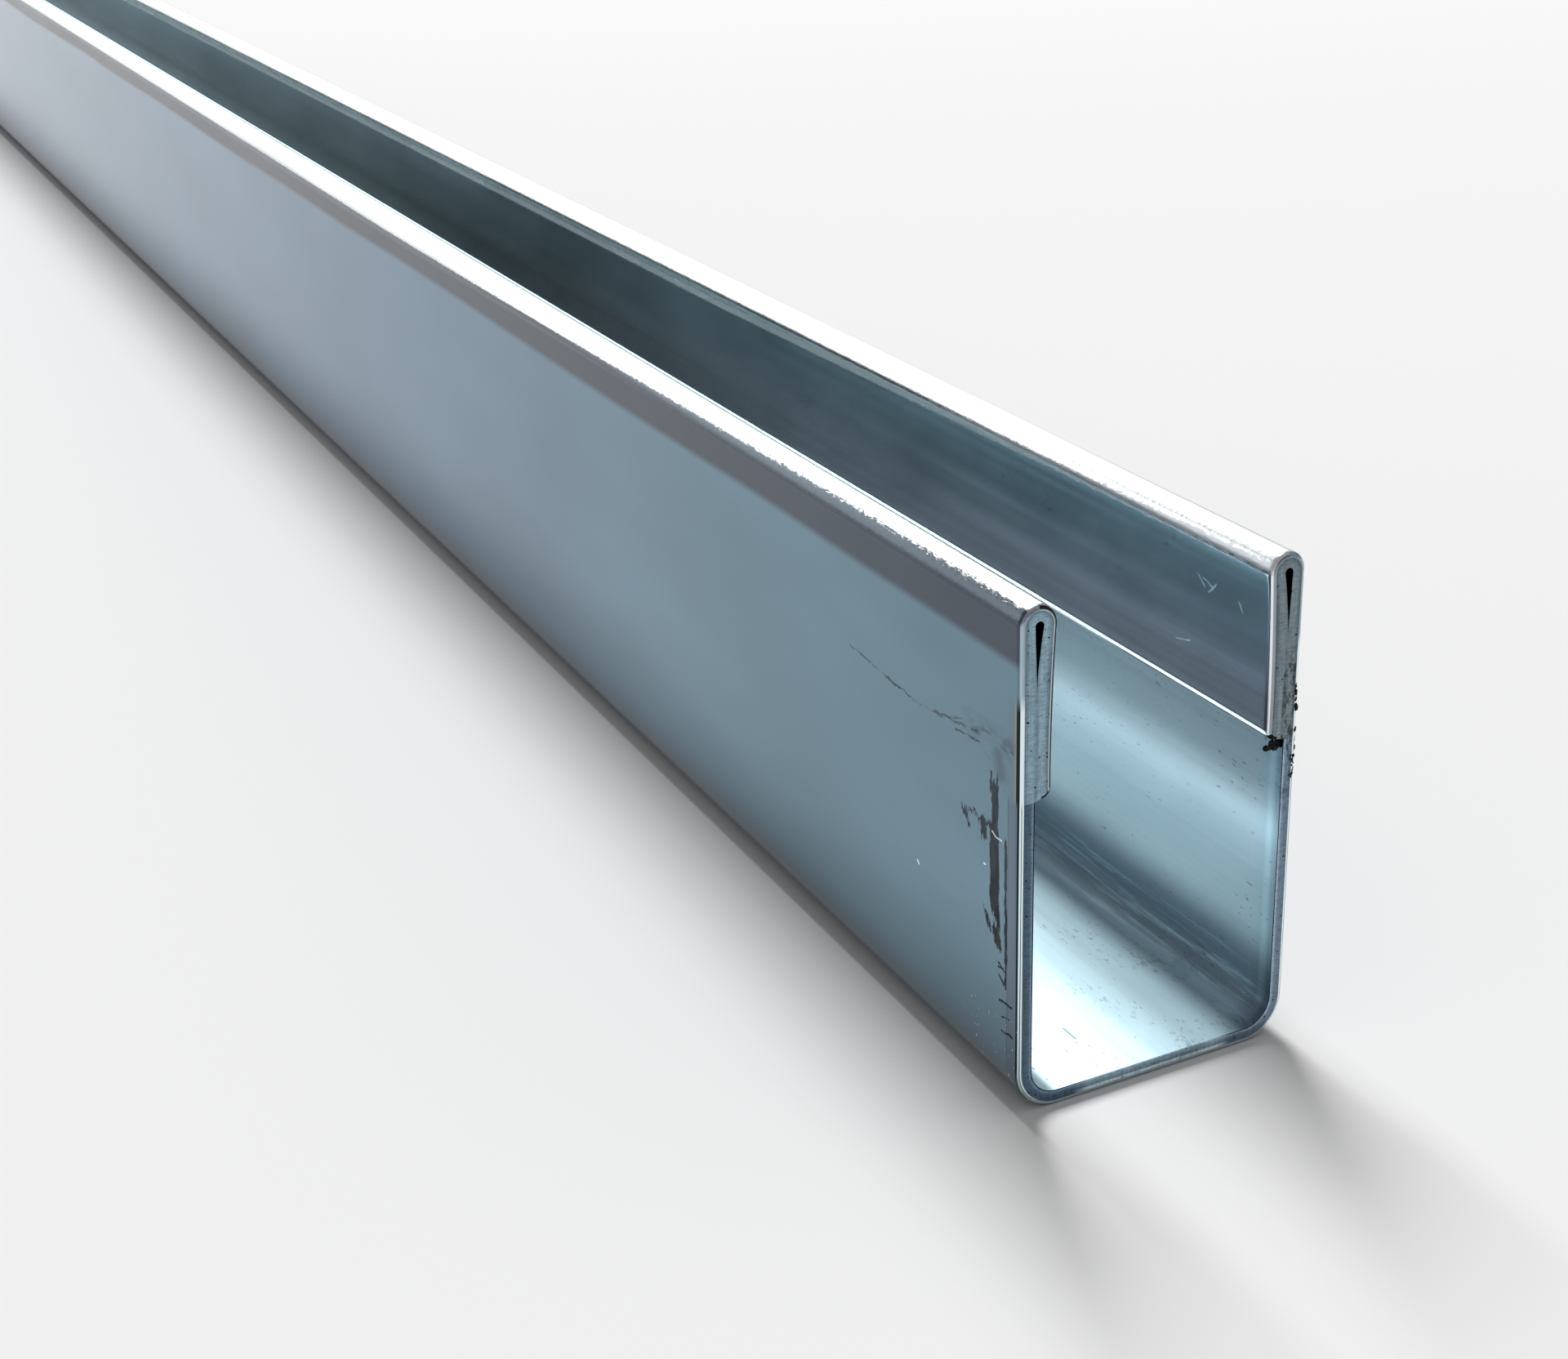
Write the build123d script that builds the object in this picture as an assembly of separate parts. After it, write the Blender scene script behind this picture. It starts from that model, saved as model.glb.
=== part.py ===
from build123d import *
import math
import os

# Hemmed U channel, folded from one strip of mirror-polished stainless sheet.
# The bar lies along X, its web rests on Z = 0 and its open side faces up.
# The polished side of the strip is outside, and the hems turn it inwards.

# Driving sizes in millimetres
length = 1000.0         # one metre bar, cut square at both ends
width = 15.0            # over the outer faces of the flanges
height = 25.0           # from the web's underside to the top of the hems
sheet = 0.8             # thickness of the strip
bend_radius = 1.4       # inside radius of the bends beside the web
hem_depth = 9.2         # from the top of the hem to the edge of the folded leg
hem_seam = 0.1          # hairline between the folded leg and its flange
fold_sheet = 0.73       # the strip where the fold has stretched it thin
eye_width = 0.44        # widest part of the drop-shaped eye inside the fold
eye_depth = 3.9         # from the top of the hem to the point where the eye closes
edge_roll = 0.25        # rounding of the polished skin where the shear went in

# Places that follow from the sizes
outer_radius = bend_radius + sheet
flange_out = width / 2
flange_in = flange_out - sheet
leg_in = flange_in - hem_seam
leg_out = leg_in - sheet
leg_edge = height - hem_depth
eye_end = height - eye_depth
eye_radius = eye_width / 2
fold_radius = eye_radius + fold_sheet
fold_centre = Vector(flange_out - fold_radius, height - fold_radius)


def eased_side(wall, radius, side):
    """Arc that runs up from a straight wall and joins the round of the fold smoothly.

    wall is the wall's place across the channel, radius the round's, and side is +1
    for a wall on the flange's side of the fold's centre, or -1 for the leg's side.
    """
    across = side * (wall - fold_centre.X)
    rise = fold_centre.Y - eye_end
    ease = (across**2 + rise**2 - radius**2) / (2 * (radius - across))
    ease_centre = Vector(wall + side * ease, eye_end)
    turn = math.asin(rise / (ease + radius))
    meet = fold_centre + (ease_centre - fold_centre) * (radius / (ease + radius))
    middle = ease_centre + Vector(-side * math.cos(turn / 2), math.sin(turn / 2)) * ease
    return ThreePointArc((wall, eye_end), middle, meet)


def bend(radius):
    """Quarter round between the web and the flange, about the bend's own centre."""
    centre = Vector(flange_out - outer_radius, outer_radius)
    return CenterArc(centre, radius, -90, 90)


def polished_skin():
    """Outer side of the strip, from the middle of the web to the folded leg's edge."""
    leg_ease = eased_side(leg_out, fold_radius, -1)
    top = fold_centre + Vector(0, fold_radius)
    return [
        Line((0, 0), (flange_out - outer_radius, 0)),
        bend(outer_radius),
        Line((flange_out, outer_radius), (flange_out, fold_centre.Y)),
        ThreePointArc((flange_out, fold_centre.Y), top, leg_ease @ 1),
        leg_ease,
        Line((leg_out, eye_end), (leg_out, leg_edge)),
    ]


def satin_skin():
    """Inner side of the strip, from the folded leg's edge back to the web."""
    leg_ease = eased_side(leg_in, eye_radius, -1)
    flange_ease = eased_side(flange_in, eye_radius, 1)
    top = fold_centre + Vector(0, eye_radius)
    return [
        Line((leg_out, leg_edge), (leg_in, leg_edge)),
        Line((leg_in, leg_edge), (leg_in, eye_end)),
        leg_ease,
        ThreePointArc(leg_ease @ 1, top, flange_ease @ 1),
        flange_ease,
        Line((flange_in, eye_end), (flange_in, outer_radius)),
        bend(bend_radius),
        Line((flange_out - outer_radius, sheet), (0, sheet)),
    ]


def section():
    """The whole section as one face in the YZ plane: one half and its mirror image."""
    middle = Line((0, sheet), (0, 0))
    half = make_face([*polished_skin(), *satin_skin(), middle])
    whole = half + mirror(half, about=Plane.YZ)
    return Plane.YZ * whole


def channel():
    """The bar, with the polished skin rolled over at both cut ends."""
    bar = extrude(section(), amount=length / 2, both=True)
    skin = Wire(polished_skin())
    skin_paths = [skin, mirror(skin, about=Plane.YZ)]
    rolled = []
    for end in (-length / 2, length / 2):
        plane = Plane.YZ.offset(end)
        paths = [plane * path for path in skin_paths]
        rolled += [
            edge for edge in bar.edges().filter_by_position(Axis.X, end, end)
            if min(path.distance_to(edge @ 0.5) for path in paths) < edge_roll / 100
        ]
    return fillet(rolled, edge_roll)


os.makedirs("parts", exist_ok=True)
export_step(channel(), "parts/hemmed_channel.step")
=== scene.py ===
"""Looks of a hemmed U channel in mirror-polished stainless steel, with its stage."""

import math

import bpy
from mathutils import Matrix, Vector


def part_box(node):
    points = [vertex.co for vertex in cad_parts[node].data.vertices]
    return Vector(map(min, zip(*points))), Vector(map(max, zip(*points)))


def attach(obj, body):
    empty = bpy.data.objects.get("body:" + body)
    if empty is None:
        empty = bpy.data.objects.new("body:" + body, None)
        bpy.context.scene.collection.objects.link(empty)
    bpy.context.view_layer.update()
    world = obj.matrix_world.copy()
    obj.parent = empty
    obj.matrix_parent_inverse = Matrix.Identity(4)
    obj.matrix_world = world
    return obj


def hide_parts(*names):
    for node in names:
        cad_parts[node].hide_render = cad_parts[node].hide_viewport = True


bl_info = {
    "name": "Hemmed channel",
    "version": (1, 0, 0),
    "blender": (4, 5, 0),
    "location": "View3D > Sidebar > Channel",
    "description": "A polished stainless U channel with hemmed flanges, on a pale floor",
    "category": "Add Mesh",
}

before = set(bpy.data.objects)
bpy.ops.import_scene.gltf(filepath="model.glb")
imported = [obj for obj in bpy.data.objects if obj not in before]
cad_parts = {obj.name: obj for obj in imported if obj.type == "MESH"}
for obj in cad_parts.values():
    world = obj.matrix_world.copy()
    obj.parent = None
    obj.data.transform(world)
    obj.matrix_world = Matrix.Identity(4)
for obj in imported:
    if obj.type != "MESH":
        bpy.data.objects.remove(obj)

MM = 0.001
NODE = "hemmed_channel"
BODY = "root"
LOW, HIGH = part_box(NODE)

# The height of the hems' tops in millimetres, from which the bands beside the fold are told
TOP = HIGH.z / MM

# The middle of a noise's colour, taken off where the noise is to push both ways
HALVES = (0.5, 0.5, 0.5)

# Edges that turn more than this are drawn sharp
SHARP_FROM = math.radians(35)

# Settles how the burrs' places and sizes are drawn
BURR_SEED = 4


def linear(colour):
    """An sRGB hex colour as the linear red, green, blue and alpha that sockets take."""
    parts = [int(colour[i:i + 2], 16) / 255 for i in (1, 3, 5)]
    curve = [c / 12.92 if c <= 0.04045 else ((c + 0.055) / 1.055) ** 2.4 for c in parts]
    return (*curve, 1.0)


def add(tree, kind, inputs=None, *more, **settings):
    """Adds one node. An input is a value, a hex colour, a socket or a node, which gives its
    first output in use.

    Each of more adds another node of the kind. The one input that it leaves out comes from
    the node before it.
    """
    inputs = inputs or {}
    node = None
    for given in (inputs, *more):
        before, node = node, tree.nodes.new(kind)
        for name, value in settings.items():
            setattr(node, name, value)
        for name in inputs:
            value = given.get(name, before)
            if isinstance(value, bpy.types.Node):
                value = next(output for output in value.outputs if output.enabled)
            if isinstance(value, str) and value.startswith("#"):
                value = linear(value)
            if isinstance(value, bpy.types.NodeSocket):
                tree.links.new(value, node.inputs[name])
            else:
                node.inputs[name].default_value = value
    return node


def distance_of(name, description, metres):
    """A length that a user may change."""
    return bpy.props.FloatProperty(
        name=name, description=description, default=metres, unit="LENGTH")


def tint_of(name, description, colour):
    """A colour that a user may change."""
    return bpy.props.FloatVectorProperty(
        name=name, description=description, default=linear(colour)[:3], subtype="COLOR")


class ChannelSizes(bpy.types.PropertyGroup):
    """Sizes of the folded section and its burrs, and how finely the bar is drawn."""

    length: distance_of("Length", "From one cut end to the other", HIGH.x - LOW.x)
    width: distance_of("Width", "Over the outer faces of the flanges", HIGH.y - LOW.y)
    height: distance_of(
        "Height", "From the web's underside to the top of the hems", HIGH.z - LOW.z)
    sheet: distance_of("Sheet", "Thickness of the strip", 0.8 * MM)
    bend_radius: distance_of(
        "Bend radius", "Inside radius of the bends beside the web", 1.4 * MM)
    hem_depth: distance_of(
        "Hem depth", "From the top of the hem to the folded leg's edge", 9.2 * MM)
    hem_seam: distance_of(
        "Hem seam", "Hairline between the folded leg and its flange", 0.1 * MM)
    fold_sheet: distance_of(
        "Fold sheet", "The strip where the fold has stretched it thin", 0.73 * MM)
    eye_width: distance_of("Eye width", "Widest part of the eye inside the fold", 0.44 * MM)
    eye_depth: distance_of(
        "Eye depth", "From the top of the hem to where the eye closes", 3.9 * MM)
    edge_roll: distance_of(
        "Edge roll", "Rounding of the polished skin at the cut ends", 0.25 * MM)
    drag: distance_of(
        "Drag", "How far from the cut the blade pressed the seam shut", 0.3 * MM)
    slit_roll: distance_of(
        "Slit roll", "Rounding of the polished skin along the leg's edge", 0.55 * MM)
    marked_length: distance_of(
        "Marked length", "How far the residue and scratches reach from the cut", 20 * MM)
    burr_spacing: distance_of("Burr spacing", "From one torn crumb to the next", 0.14 * MM)
    jaggedness: distance_of("Jaggedness", "How far the crumbs' skin is torn about", 0.16 * MM)
    stations: bpy.props.IntProperty(
        name="Stations", description="Cross-sections drawn along the bar", default=161)


class ChannelFinish(bpy.types.PropertyGroup):
    """Colours of the finishes."""

    mirror: tint_of("Mirror", "Polished outer skin", "#6d8b9a")
    # A painted highlight: the pale colour of the fold's crown
    crown: tint_of("Crown", "The polished skin stretched over the top of the fold", "#eaf0f2")
    leg: tint_of("Leg", "The polished skin of the folded leg, inside the slot", "#f4e6ec")
    # A painted dark reflection: the colour of the dark band beside the fold
    haze: tint_of(
        "Haze", "The polished skin beside the fold, where the hem was closed", "#4c5561")
    satin: tint_of("Satin", "Mill-finished inner skin", "#d7f4fc")
    floor: tint_of("Floor", "The plain pale floor", "#f4f4f4")


# What each point of the outline carries beside its direction out of the metal: the shares of
# polish, of rolling over at the cut, of bending, of painted shade in the seam and the eye, and
# of being pinched by the blade
SHARES = ("polish", "roll", "bend", "grime", "pinch")

# The pinch of the seam at the cut fades out over this height, up into the eye
PINCH_FADE = 1.5 * MM

# The polished skin of the flanges is less than this far from the outermost faces, and that
# of the folded legs is farther in
OUTER_SKIN = 0.95 * MM

# Only the legs have polished skin inside and higher than this
LEG_ABOVE = 10 * MM

# The middle of the far leg, and how far to each side of it its scratches reach
LEG_MIDDLE = 6 * MM
LEG_REACH = 0.55 * MM

# How much closer in the leg stands below its fold than in it
LEG_CLOSER = 0.2 * MM

# The middle of the far flange and its seam, and how far to each side of it they tore
TORN_MIDDLE = HIGH.y - 0.45 * MM
TORN_REACH = 0.5 * MM

# The duller band beside the fold, painted darker as a painted reflection, starts at the first
# of these heights, and is full at the next
HAZE_START = HIGH.z - 2.7 * MM
HAZE_FULL = HIGH.z - 2.1 * MM

# The height that the pale lines in the far corner lie round
ROLLER_HEIGHT = 2.1 * MM


def straight(start, end, out, polish, grime=0.0, support=0.06 * MM, steps=4):
    """Points on a flat run of the outline, with support points close to both ends.

    Each point is its place and then its attributes. The last one is left to the next run.
    """
    start, end = Vector(start), Vector(end)
    reach = (end - start).length
    stops = [0.0, support]
    stops += [support + (reach - 2 * support) * i / steps for i in range(1, steps)]
    stops += [reach - support]
    return [(start + (end - start) * (s / reach), Vector(out), polish, polish, 0.0, grime)
            for s in stops]


def rounded(centre, radius, start, end, side, polish, roll, bend, pitch, grime=0.0):
    """Points on a round run from the angle start to end, at most pitch degrees apart.

    side is +1 where the metal is inside the round and -1 where it is outside.
    """
    steps = max(2, math.ceil(abs(end - start) / pitch))
    found = []
    for i in range(steps):
        angle = math.radians(start + (end - start) * i / steps)
        spoke = Vector((math.cos(angle), math.sin(angle)))
        found.append((Vector(centre) + spoke * radius, spoke * side, polish, roll, bend, grime))
    return found


def half_outline(size):
    """The far half of the section's outline, as its polished and its satin run."""
    outer = size.bend_radius + size.sheet
    flange_out = size.width / 2
    flange_in = flange_out - size.sheet
    leg_in = flange_in - size.hem_seam
    leg_out = leg_in - size.sheet
    leg_edge = size.height - size.hem_depth
    eye_end = size.height - size.eye_depth
    eye = size.eye_width / 2
    fold = eye + size.fold_sheet
    centre = Vector((flange_out - fold, size.height - fold))
    corner = (flange_out - outer, outer)
    slit = size.slit_roll
    slit_share = 0.9 * min(1, slit / size.edge_roll)

    def ease(wall, radius, side, low):
        """Centre, radius and turn in degrees of the arc from a wall at low into the fold."""
        across = side * (wall - centre.x)
        rise = centre.y - low
        large = (across**2 + rise**2 - radius**2) / (2 * (radius - across))
        turn = math.degrees(math.asin(rise / (large + radius)))
        return (wall + side * large, low), large, turn

    # The polished side of the leg eases into the fold over nearly its whole height
    leg_low = leg_edge + 2 * slit
    at, large, turn = ease(leg_out, fold, -1, leg_low)
    polished = [
        *straight((0, 0), (corner[0], 0), (0, -1), 1),
        *rounded(corner, outer, -90, 0, 1, 1, 1, 0.35, 4),
        *straight((flange_out, outer), (flange_out, centre.y), (1, 0), 1, steps=8),
        *rounded(centre, fold, 0, 180 + turn, 1, 1, 1, 1, 5),
        *rounded(at, large, turn, 0, -1, 1, 1, 0, 0.4),
        *straight((leg_out, leg_low), (leg_out, leg_edge + slit), (-1, 0), 1),
        *rounded((leg_out + slit, leg_edge + slit), slit, 180, 270, 1, 1, slit_share, 1, 15),
        (Vector((leg_out + slit, leg_edge)), Vector((0, -1)), 1, slit_share, 1, 0),
    ]
    at, large, turn = ease(leg_in, eye, -1, eye_end)
    flange_at, flange_large, flange_turn = ease(flange_in, eye, 1, eye_end)
    satin = [
        *straight((leg_in, leg_edge), (leg_in, eye_end), (1, 0), 0, 1),
        *rounded(at, large, 0, turn, 1, 0, 0, 0, 1, 1),
        *rounded(centre, eye, 180 + turn, -flange_turn, -1, 0, 0, 1, 12, 1),
        *rounded(flange_at, flange_large, 180 - flange_turn, 180, 1, 0, 0, 0, 1, 1),
        *straight((flange_in, eye_end), (flange_in, leg_edge), (-1, 0), 0, 1),
        *straight((flange_in, leg_edge), (flange_in, outer), (-1, 0), 0, steps=8),
        *rounded(corner, size.bend_radius, 0, -90, -1, 0, 0, 0.35, 5),
        *straight((corner[0], size.sheet), (0, size.sheet), (0, 1), 0),
    ]
    return polished, satin


def mirrored(points):
    """The same points across the middle of the web, in the opposite order."""
    flip = Matrix(((-1, 0), (0, 1)))
    return [(flip @ place, flip @ out, *rest) for place, out, *rest in reversed(points)]


def outline_mesh(size):
    """The closed outline as a ring of edges, turned half round as Curve to Mesh expects it."""
    polished, satin = half_outline(size)
    top = (Vector((0, size.sheet)), Vector((0, 1)), 0, 0, 0, 0)
    loop = mirrored(polished)[:-1] + polished + satin + [top] + mirrored(satin)
    mesh = bpy.data.meshes.new("section_outline")
    count = len(loop)
    edges = [(i, (i + 1) % count) for i in range(count)]
    mesh.from_pydata([(-place.x, -place.y, 0) for place, *_ in loop], edges, [])
    mesh.attributes.new("out", "FLOAT_VECTOR", "POINT")
    for name in SHARES:
        mesh.attributes.new(name, "FLOAT", "POINT")
    eye_end = size.height - size.eye_depth
    for i, (place, out, *shares) in enumerate(loop):
        above = max(0, place.y - eye_end) / PINCH_FADE
        shares.append(shares[-1] * max(0, 1 - above))
        mesh.attributes["out"].data[i].vector = (0, *out)
        for name, share in zip(SHARES, shares):
            mesh.attributes[name].data[i].value = share
    return mesh


def geometry_tree(name, inputs, output):
    """An empty Geometry Nodes tree, and its inputs as its nodes see them."""
    tree = bpy.data.node_groups.new(name, "GeometryNodeTree")
    for title, kind in inputs.items():
        tree.interface.new_socket(title, in_out="INPUT", socket_type="NodeSocket" + kind)
    tree.interface.new_socket(output, in_out="OUTPUT", socket_type="NodeSocketGeometry")
    return tree, add(tree, "NodeGroupInput").outputs


def sweep_tree():
    """Geometry Nodes that sweep the outline along X and roll its polished edge over."""
    tree, given = geometry_tree("sweep_section", {
        "Outline": "Geometry", "Length": "Float", "Edge Roll": "Float", "Drag": "Float",
        "Hem Seam": "Float", "Stations": "Int", "Marked Length": "Float", "Mirror": "Material",
        "Marked Mirror": "Material", "Satin": "Material", "Sheared": "Material"}, "Bar")
    roll = given["Edge Roll"]

    # Stations crowd towards both ends, by the cube of their share of the way to the middle
    line = add(tree, "GeometryNodeMeshLine", {"Count": given["Stations"], "Offset": (1, 0, 0)})
    last = add(tree, "ShaderNodeMath", {0: given["Stations"], 1: 1}, operation="SUBTRACT")
    index = add(tree, "GeometryNodeInputIndex")
    share = add(tree, "ShaderNodeMapRange", {"Value": index, "From Max": last, "To Min": -1})
    size = add(tree, "ShaderNodeMath", {0: share}, operation="ABSOLUTE")
    inward = add(tree, "ShaderNodeMath", {0: 1, 1: size}, operation="SUBTRACT")
    cube = add(tree, "ShaderNodeMath", {0: inward, 1: 3}, operation="POWER")
    half = add(tree, "ShaderNodeMath", {0: given["Length"], 1: 0.5}, operation="MULTIPLY")
    from_end = add(tree, "ShaderNodeMath", {0: half, 1: cube}, operation="MULTIPLY")
    from_middle = add(tree, "ShaderNodeMath", {0: half, 1: from_end}, operation="SUBTRACT")
    side = add(tree, "ShaderNodeMath", {0: share}, operation="SIGN")
    along = add(tree, "ShaderNodeMath", {0: side, 1: from_middle}, operation="MULTIPLY")
    place = add(tree, "ShaderNodeCombineXYZ", {0: along})

    # The roll is a quarter round, and this is how deep it lies under the skin at a station
    rest = add(tree, "ShaderNodeMath", {0: roll, 1: from_end}, operation="SUBTRACT", use_clamp=True)
    rest_square = add(tree, "ShaderNodeMath", {0: rest, 1: 2}, operation="POWER")
    roll_square = add(tree, "ShaderNodeMath", {0: roll, 1: 2}, operation="POWER")
    rise_square = add(tree, "ShaderNodeMath", {0: roll_square, 1: rest_square},
                      operation="SUBTRACT", use_clamp=True)
    rise = add(tree, "ShaderNodeMath", {0: rise_square}, operation="SQRT")
    depth = add(tree, "ShaderNodeMath", {0: roll, 1: rise}, operation="SUBTRACT")

    # The blade dragged the seam shut at the cut: each wall moves by almost half the seam
    most = add(tree, "ShaderNodeMath", {0: given["Hem Seam"], 1: 0.49}, operation="MULTIPLY")
    shut = add(tree, "ShaderNodeMapRange",
               {"Value": from_end, "From Max": given["Drag"], "To Min": most, "To Max": 0.0},
               interpolation_type="SMOOTHSTEP")

    stations = line
    for name, value in (("depth", depth), ("shut", shut)):
        stations = add(tree, "GeometryNodeStoreNamedAttribute",
                       {"Geometry": stations, "Name": name, "Value": value}, data_type="FLOAT")
    stations = add(tree, "GeometryNodeSetPosition", {"Geometry": stations, "Position": place})
    rail = add(tree, "GeometryNodeMeshToCurve", {"Mesh": stations})
    ring = add(tree, "GeometryNodeMeshToCurve", {"Mesh": given["Outline"]})
    swept = add(tree, "GeometryNodeCurveToMesh",
                {"Curve": rail, "Profile Curve": ring, "Fill Caps": True})
    depth, roll, shut, pinch, polish = (
        add(tree, "GeometryNodeInputNamedAttribute", {"Name": name}, data_type="FLOAT")
        for name in ("depth", "roll", "shut", "pinch", "polish"))
    out = add(tree, "GeometryNodeInputNamedAttribute", {"Name": "out"}, data_type="FLOAT_VECTOR")
    outward, rolled = (add(tree, "ShaderNodeMath", {0: reach, 1: share}, operation="MULTIPLY")
                       for reach, share in ((shut, pinch), (depth, roll)))
    outset = add(tree, "ShaderNodeMath", {0: outward, 1: rolled}, operation="SUBTRACT")
    offset = add(tree, "ShaderNodeVectorMath", {0: out, "Scale": outset}, operation="SCALE")
    bar = add(tree, "GeometryNodeSetPosition", {"Geometry": swept, "Offset": offset})
    bar = add(tree, "GeometryNodeSetShadeSmooth", {"Geometry": bar})
    bar = add(tree, "GeometryNodeRealizeInstances", {"Geometry": bar})

    # A cap has many corners. A wall between a polished and a satin line is the leg's cut edge
    corners = add(tree, "GeometryNodeInputMeshFaceNeighbors").outputs["Vertex Count"]
    is_cap = add(tree, "ShaderNodeMath", {0: corners, 1: 4.5}, operation="GREATER_THAN")
    finish = add(tree, "GeometryNodeFieldOnDomain", {"Value": polish}, domain="FACE")
    is_mirror = add(tree, "ShaderNodeMath", {0: finish, 1: 0.75}, operation="GREATER_THAN")
    is_satin = add(tree, "ShaderNodeMath", {0: finish, 1: 0.25}, operation="LESS_THAN")
    spot = add(tree, "ShaderNodeSeparateXYZ", {0: add(tree, "GeometryNodeInputPosition")})
    marked_from = add(tree, "ShaderNodeMath", {0: half, 1: given["Marked Length"]},
                      operation="SUBTRACT")
    near_cut = add(tree, "ShaderNodeMath", {0: spot, 1: marked_from}, operation="GREATER_THAN")
    is_marked = add(tree, "ShaderNodeMath", {0: is_mirror, 1: near_cut}, operation="MULTIPLY")
    chosen = (("Sheared", 1), ("Mirror", is_mirror), ("Marked Mirror", is_marked),
              ("Satin", is_satin), ("Sheared", is_cap))
    for name, where in chosen:
        bar = add(tree, "GeometryNodeSetMaterial",
                  {"Geometry": bar, "Selection": where, "Material": given[name]})
    add(tree, "NodeGroupOutput", {0: bar})
    return tree


def evaluated(name, base, tree, values):
    """Runs a Geometry Nodes tree on a mesh and returns its result as a plain object."""
    maker = bpy.data.objects.new(name + "_maker", base)
    bpy.context.scene.collection.objects.link(maker)
    modifier = maker.modifiers.new("nodes", "NODES")
    modifier.node_group = tree
    for item in tree.interface.items_tree:
        if item.in_out == "INPUT" and item.name in values:
            modifier[item.identifier] = values[item.name]
    graph = bpy.context.evaluated_depsgraph_get()
    mesh = bpy.data.meshes.new_from_object(maker.evaluated_get(graph),
                                           preserve_all_data_layers=True, depsgraph=graph)
    maker.modifiers.remove(modifier)
    bpy.data.objects.remove(maker)
    mesh.name = name
    if not mesh.polygons:
        raise RuntimeError(name + " came out without faces")
    piece = bpy.data.objects.new(name, mesh)
    bpy.context.scene.collection.objects.link(piece)
    return piece


def take_place(piece):
    """Sets a finished piece in the place of the CAD's solid."""
    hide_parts(NODE)
    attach(piece, BODY)


# Marks on the polished faces by the cut. Each is a start and an end, as the distance from
# the cut end and the height above the floor, and the half width, all in millimetres
SMEARS = (
    ((2.05, 15.9), (2.05, 13.6), 0.27),
    ((2.38, 16.5), (2.42, 15.6), 0.06),
    ((1.82, 16.5), (1.95, 15.9), 0.05),
    ((2.10, 13.6), (2.05, 10.2), 0.40),
    ((3.10, 13.8), (3.00, 13.2), 0.26),
    ((3.10, 13.8), (2.30, 13.9), 0.10),
    ((5.05, 13.8), (4.75, 13.6), 0.08),
    ((4.75, 13.6), (4.36, 13.0), 0.10),
    ((4.75, 13.6), (3.95, 13.9), 0.05),
    ((3.95, 13.9), (3.30, 13.8), 0.08),
    ((2.00, 10.2), (2.00, 9.8), 0.36),
    ((2.90, 9.4), (2.40, 8.7), 0.10),
    ((1.74, 10.1), (1.70, 9.0), 0.13),
    ((1.95, 8.8), (1.78, 8.3), 0.28),
    ((1.75, 8.3), (1.45, 7.9), 0.09),
    ((1.12, 13.6), (1.02, 7.6), 0.10),
)
NICKS = (
    ((1.02, 7.6), (1.02, 6.2), 0.05),
    ((1.65, 7.3), (1.00, 7.0), 0.05),
    ((1.68, 7.0), (1.25, 7.2), 0.04),
    ((1.62, 6.6), (1.15, 6.4), 0.05),
    ((1.00, 6.9), (1.20, 6.3), 0.03),
    ((1.56, 5.4), (0.50, 5.5), 0.05),
    ((1.33, 4.6), (0.66, 4.8), 0.03),
    ((1.33, 3.9), (0.40, 4.0), 0.045),
)
DIRT_LINE = (
    ((16.0, 17.7), (9.3, 17.2), 0.02),
    ((9.3, 17.2), (6.9, 17.5), 0.03),
    ((6.9, 17.5), (5.0, 17.8), 0.04),
    ((5.0, 17.8), (3.7, 17.9), 0.05),
    ((3.7, 17.9), (0.5, 18.1), 0.05),
    ((6.0, 17.8), (4.5, 18.2), 0.02),
    ((3.4, 18.2), (1.5, 18.5), 0.02),
    ((5.6, 17.3), (3.0, 17.6), 0.02),
    ((2.9, 17.2), (2.5, 17.1), 0.04),
)
DIRT_SMUDGE = (((4.5, 18.1), (0.9, 18.3), 0.15), ((1.9, 18.0), (1.5, 16.6), 0.10))
FLANGE_SCRATCHES = (
    ((2.30, 13.6), (1.88, 13.5), 0.035),
    ((1.88, 13.5), (1.47, 13.5), 0.035),
    ((2.98, 11.7), (2.88, 11.7), 0.05),
    ((9.30, 9.0), (9.15, 8.9), 0.05),
)
LEG_SCRATCHES = (
    ((5.7, 22.3), (5.2, 21.8), 0.02),
    ((5.3, 22.2), (4.5, 21.9), 0.015),
    ((4.9, 21.6), (4.3, 22.1), 0.015),
    ((2.5, 21.9), (2.2, 21.5), 0.02),
    ((7.5, 18.4), (6.3, 18.6), 0.015),
)


def strokes(tree, along, up, marks, soft=0.05):
    """A mask that is 1 on each of the straight marks and fades at their edges."""
    spot = add(tree, "ShaderNodeCombineXYZ", {0: along, 1: up})
    mask = None
    for start, end, half_width in marks:
        start, end = Vector((*start, 0)) * MM, Vector((*end, 0)) * MM
        run = end - start
        offset = add(tree, "ShaderNodeVectorMath", {0: spot, 1: start}, operation="SUBTRACT")
        share = add(tree, "ShaderNodeVectorMath", {0: offset, 1: run / run.length_squared},
                    operation="DOT_PRODUCT").outputs["Value"]
        share = add(tree, "ShaderNodeMath", {0: share, 1: 0}, operation="ADD", use_clamp=True)
        near = add(tree, "ShaderNodeVectorMath", {0: run, "Scale": share}, operation="SCALE")
        gap = add(tree, "ShaderNodeVectorMath", {0: offset, 1: near},
                  operation="DISTANCE").outputs["Value"]
        mark = add(tree, "ShaderNodeMapRange",
                   {"Value": gap, "From Min": (half_width + soft) * MM,
                    "From Max": half_width * MM})
        if mask:
            mark = add(tree, "ShaderNodeMath", {0: mask, 1: mark}, operation="MAXIMUM")
        mask = mark
    return mask


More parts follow.
